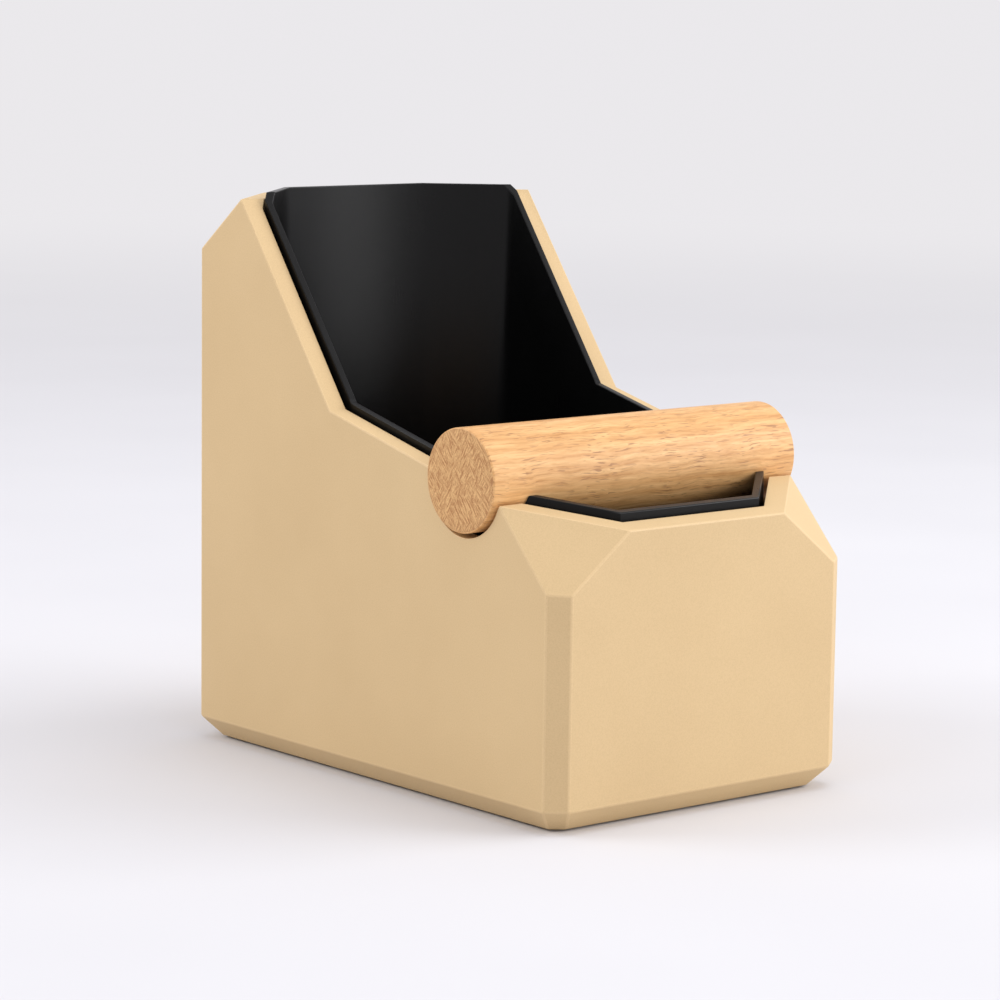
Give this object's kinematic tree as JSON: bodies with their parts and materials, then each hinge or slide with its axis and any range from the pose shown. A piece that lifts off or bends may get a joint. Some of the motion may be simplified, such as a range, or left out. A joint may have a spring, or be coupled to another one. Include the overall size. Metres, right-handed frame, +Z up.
{
  "type": "espresso knock box",
  "caption": "Countertop knock box: faceted housing with a low front and tall back, lift-out inner bin, round wooden knock bar in side notches, rubber feet.",
  "frame": {"origin": "on the counter, under the middle of the box", "axes": "+Z up, +Y towards the tall back wall, X along the knock bar"},
  "size_m": [0.1134, 0.169, 0.1663],
  "materials": {
    "housing": "matte, very fine moulded grain, tan",
    "bin": "satin black moulded plastic",
    "bar_wood": "sanded and oiled open-pored hardwood, grain along the bar, end grain on its ends",
    "foot_rubber": "matte black rubber"
  },
  "bodies": {
    "housing": {"outer_housing": "housing", "foot_front_left": "foot_rubber", "foot_front_right": "foot_rubber", "foot_back_left": "foot_rubber", "foot_back_right": "foot_rubber"},
    "bin": {"inner_bin": "bin"},
    "bar": {"knock_bar": "bar_wood"}
  },
  "joints": [
    {"name": "bin_lift", "type": "slide", "parent": "housing", "child": "bin", "axis": [0, 0, 1], "range_m": [0, 0.17]},
    {"name": "bar_lift", "type": "slide", "parent": "bin", "child": "bar", "axis": [0, 0, 1], "range_m": [0, 0.1]}
  ]
}
